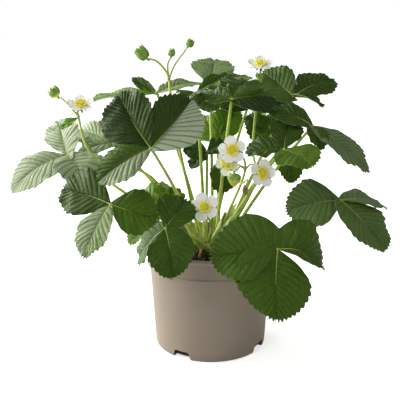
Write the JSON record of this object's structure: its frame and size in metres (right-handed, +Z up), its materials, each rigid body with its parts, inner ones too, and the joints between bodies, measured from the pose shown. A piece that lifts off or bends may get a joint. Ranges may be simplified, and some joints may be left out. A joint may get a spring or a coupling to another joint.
{
  "type": "potted strawberry plant",
  "caption": "Strawberry plant in a taupe plastic nursery pot, with three-part toothed leaves, white flowers and green buds.",
  "frame": {"origin": "on the pot's axis, on the underside of its flat floor", "axes": "+Z up along the pot's axis, -Y towards the front, +X to the right across the leaves"},
  "size_m": [0.3752, 0.2552, 0.3079],
  "materials": {
    "pot_plastic": "fine matte moulded",
    "potting_mix": "dark crumbly peat and bark",
    "crown_tissue": "fibrous",
    "leaf_green": "quilted with a soft sheen",
    "stalk_green": "smooth with fine hairs",
    "petal_white": "soft matte",
    "bud_green": "soft matte"
  },
  "bodies": {
    "root": {"bud_far_left": "bud_green", "bud_tall_left": "bud_green", "bud_tall_middle": "bud_green", "bud_tall_right": "bud_green", "crown": "crown_tissue", "flower_front": "petal_white", "flower_left": "petal_white", "flower_middle_lower": "petal_white", "flower_middle_right": "petal_white", "flower_middle_upper": "petal_white", "flower_stalk_front": "stalk_green", "flower_stalk_left": "stalk_green", "flower_stalk_middle": "stalk_green", "flower_stalk_tall": "stalk_green", "flower_stalk_top": "stalk_green", "flower_top": "petal_white", "flower_wilted": "bud_green", "fruit_young": "bud_green", "leaf_back_upper": "leaf_green", "leaf_centre": "leaf_green", "leaf_centre_back": "leaf_green", "leaf_centre_left": "leaf_green", "leaf_far_left": "leaf_green", "leaf_front_left": "leaf_green", "leaf_front_right": "leaf_green", "leaf_left": "leaf_green", "leaf_left_behind": "leaf_green", "leaf_left_inner": "leaf_green", "leaf_right": "leaf_green", "leaf_right_back": "leaf_green", "leaf_right_inner": "leaf_green", "leaf_right_upper": "leaf_green", "leaf_top": "leaf_green", "leaf_top_front": "leaf_green", "leaf_top_right": "leaf_green", "leaf_upper_left": "leaf_green", "leaf_upper_left_back": "leaf_green", "leaf_upper_right": "leaf_green", "petiole_back_upper": "stalk_green", "petiole_centre": "stalk_green", "petiole_centre_back": "stalk_green", "petiole_centre_left": "stalk_green", "petiole_far_left": "stalk_green", "petiole_front_left": "stalk_green", "petiole_front_right": "stalk_green", "petiole_left": "stalk_green", "petiole_left_behind": "stalk_green", "petiole_left_inner": "stalk_green", "petiole_right": "stalk_green", "petiole_right_back": "stalk_green", "petiole_right_inner": "stalk_green", "petiole_right_upper": "stalk_green", "petiole_top": "stalk_green", "petiole_top_front": "stalk_green", "petiole_top_right": "stalk_green", "petiole_upper_left": "stalk_green", "petiole_upper_left_back": "stalk_green", "petiole_upper_right": "stalk_green", "pot": "pot_plastic", "potting_mix": "potting_mix"}
  },
  "joints": []
}
